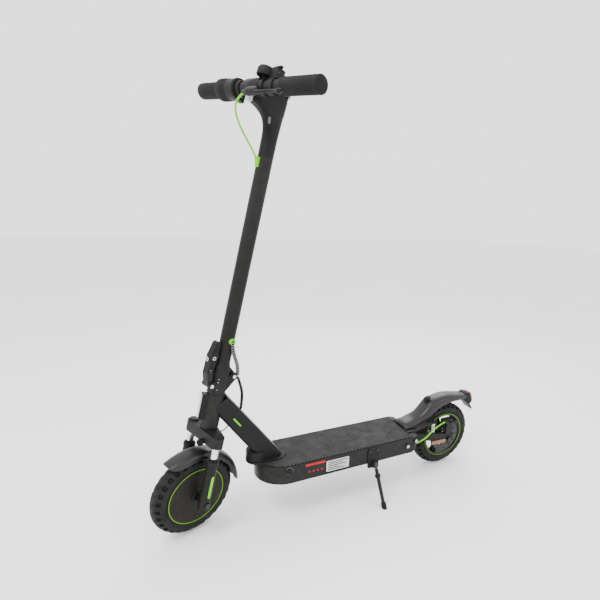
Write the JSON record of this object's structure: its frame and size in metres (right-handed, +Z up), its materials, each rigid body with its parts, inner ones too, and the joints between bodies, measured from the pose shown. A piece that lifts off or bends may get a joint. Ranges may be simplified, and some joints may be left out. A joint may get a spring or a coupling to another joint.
{
  "type": "electric kick scooter",
  "caption": "Folding electric kick scooter with a hub motor front wheel, sprung fork and swing arm, flat deck, rear mudguard and side stand.",
  "frame": {"origin": "middle of the whole scooter in plan, on the ground", "axes": "+X forward, +Y to the rider's left, +Z up; the scooter leans one degree onto its side stand and its bar is turned to the left"},
  "size_m": [1.1752, 0.4288, 1.243],
  "materials": {
    "amber": "amber reflector",
    "battery": "battery sleeve",
    "black_alloy": "black painted alloy",
    "black_plastic": "satin black moulding",
    "black_sleeve": "black cable sleeve",
    "chrome": "polished",
    "clear_lens": "clear lens",
    "display": "dark glossy display cover",
    "green": "bright green plastic",
    "guard_plastic": "glossy black moulding",
    "mat": "dark grey anti-slip rubber",
    "red_lens": "red lens",
    "rubber": "soft black rubber",
    "steel": "plain steel",
    "tyre": "black tyre",
    "white_reflector": "white reflector"
  },
  "bodies": {
    "frame": {"head_tube": "black_alloy", "down_tube": "black_alloy", "deck_shell": "black_alloy", "deck_bottom_cover": "black_alloy", "deck_mat": "mat", "rear_bracket": "black_alloy", "battery_pack": "battery", "motor_controller": "black_alloy", "charge_port": "black_plastic", "front_reflector": "white_reflector", "headset_bearings": "steel", "rear_fender": "guard_plastic", "tail_light_lens": "red_lens", "stand_bracket": "black_alloy", "frame_bolts": "steel", "motor_lead": "black_sleeve", "lower_cable_wrap": "black_sleeve", "rear_brake_cable": "green"},
    "charge_cap": {"charge_cap": "rubber"},
    "swing_arm": {"swingarm": "black_alloy", "rear_axle": "steel", "side_reflectors": "amber", "brake_caliper": "black_alloy", "rear_springs": "steel"},
    "rear_wheel": {"rear_tyre": "tyre", "rear_rim": "black_alloy", "brake_disc": "steel"},
    "caliper_arm": {"caliper_arm": "black_alloy"},
    "side_stand": {"stand_leg": "steel", "stand_foot": "rubber"},
    "steerer": {"fork_crown": "black_alloy", "stanchions": "chrome", "fold_base": "black_alloy", "hinge_pins": "chrome", "horn": "black_plastic"},
    "fork_lower": {"fork_legs": "black_alloy", "front_axle": "steel", "front_fender": "guard_plastic", "fork_springs": "steel", "motor_stator": "steel"},
    "front_wheel": {"front_tyre": "tyre", "front_hub": "black_alloy"},
    "stem": {"stem_tube": "black_alloy", "stem_head": "black_plastic", "headlight_lens": "clear_lens", "display": "display", "handlebar": "black_alloy", "grips": "rubber", "brake_perch": "black_alloy", "throttle_housing": "black_plastic", "bell": "black_plastic", "front_brake_cable": "green", "cable_grommets": "green", "upper_cable_wrap": "black_sleeve"},
    "fold_lever": {"fold_lever": "black_alloy"},
    "safety_catch": {"safety_catch": "chrome"},
    "brake_lever": {"brake_lever": "black_alloy"},
    "throttle": {"throttle_paddle": "black_plastic"},
    "bell_striker": {"bell_striker": "black_plastic"},
    "power_button": {"power_button": "rubber"}
  },
  "joints": [
    {"name": "steering", "type": "hinge", "parent": "frame", "child": "steerer", "pos_m": [0.39717, -0.03837, 0.3765], "axis": [-0.2419, 0.0169, 0.9701], "range_deg": [-72.5, 27.5], "deforming": ["lower_cable_wrap", "motor_lead"]},
    {"name": "fork_travel", "type": "slide", "parent": "steerer", "child": "fork_lower", "axis": [-0.2419, 0.0169, 0.9701], "range_m": [0, 0.018], "stiffness_N_per_m": 4000, "springref_m": -0.04, "deforming": ["fork_springs"]},
    {"name": "front_wheel_spin", "type": "hinge", "parent": "fork_lower", "child": "front_wheel", "pos_m": [0.46952, -0.03895, 0.12449], "axis": [-0.3713, 0.9221, -0.1087], "continuous": true},
    {"name": "stem_fold", "type": "hinge", "parent": "steerer", "child": "stem", "pos_m": [0.33974, -0.05053, 0.46959], "axis": [0.3713, -0.9221, 0.1087], "range_deg": [0, 90], "deforming": ["upper_cable_wrap"]},
    {"name": "fold_lever_swing", "type": "hinge", "parent": "steerer", "child": "fold_lever", "pos_m": [0.40788, -0.0243, 0.45933], "axis": [-0.3713, 0.9221, -0.1087], "range_deg": [0, 95]},
    {"name": "safety_catch_slide", "type": "slide", "parent": "fold_lever", "child": "safety_catch", "axis": [-0.2419, 0.0169, 0.9701], "range_m": [0, 0.008]},
    {"name": "brake_lever_pull", "type": "hinge", "parent": "stem", "child": "brake_lever", "pos_m": [0.27809, 0.04219, 1.18162], "axis": [0.3312, 0.2409, 0.9123], "range_deg": [0, 10], "stiffness_Nm_per_rad": 1, "springref_deg": -14.32},
    {"name": "caliper_arm_swing", "type": "hinge", "parent": "swing_arm", "child": "caliper_arm", "pos_m": [-0.44374, 0.01626, 0.18296], "axis": [0, 0.9998, -0.0175], "range_deg": [0, 15], "deforming": ["rear_brake_cable"]},
    {"name": "throttle_turn", "type": "hinge", "parent": "stem", "child": "throttle", "pos_m": [0.30221, -0.10862, 1.21268], "axis": [0.3713, -0.9221, 0.1087], "range_deg": [0, 35], "stiffness_Nm_per_rad": 0.4, "springref_deg": -17.19},
    {"name": "bell_striker_flick", "type": "hinge", "parent": "stem", "child": "bell_striker", "pos_m": [0.22332, 0.06394, 1.23123], "axis": [-0.2419, 0.0169, 0.9701], "range_deg": [0, 25], "stiffness_Nm_per_rad": 0.05, "springref_deg": -11.46},
    {"name": "power_button_press", "type": "slide", "parent": "stem", "child": "power_button", "axis": [0.2419, -0.0169, -0.9701], "range_m": [0, 0.0015], "stiffness_N_per_m": 800, "springref_m": -0.001},
    {"name": "stand_fold", "type": "hinge", "parent": "frame", "child": "side_stand", "pos_m": [-0.09774, 0.06024, 0.12418], "axis": [0, 0.8746, 0.4848], "range_deg": [0, 90]},
    {"name": "rear_suspension", "type": "hinge", "parent": "frame", "child": "swing_arm", "pos_m": [-0.26774, -0.04194, 0.17197], "axis": [0, 0.9998, -0.0175], "range_deg": [0, 6], "stiffness_Nm_per_rad": 180, "springref_deg": -8.59, "deforming": ["rear_springs"]},
    {"name": "rear_wheel_spin", "type": "hinge", "parent": "swing_arm", "child": "rear_wheel", "pos_m": [-0.44774, -0.04276, 0.12498], "axis": [0, 0.9998, -0.0175], "continuous": true},
    {"name": "charge_cap_hinge", "type": "hinge", "parent": "frame", "child": "charge_cap", "pos_m": [0.21126, 0.05163, 0.17234], "axis": [0, -0.0175, -0.9998], "range_deg": [0, 120]}
  ],
  "couplings": [
    {"joint": "caliper_arm_swing", "follows": "brake_lever_pull", "ratio": 1.5}
  ]
}
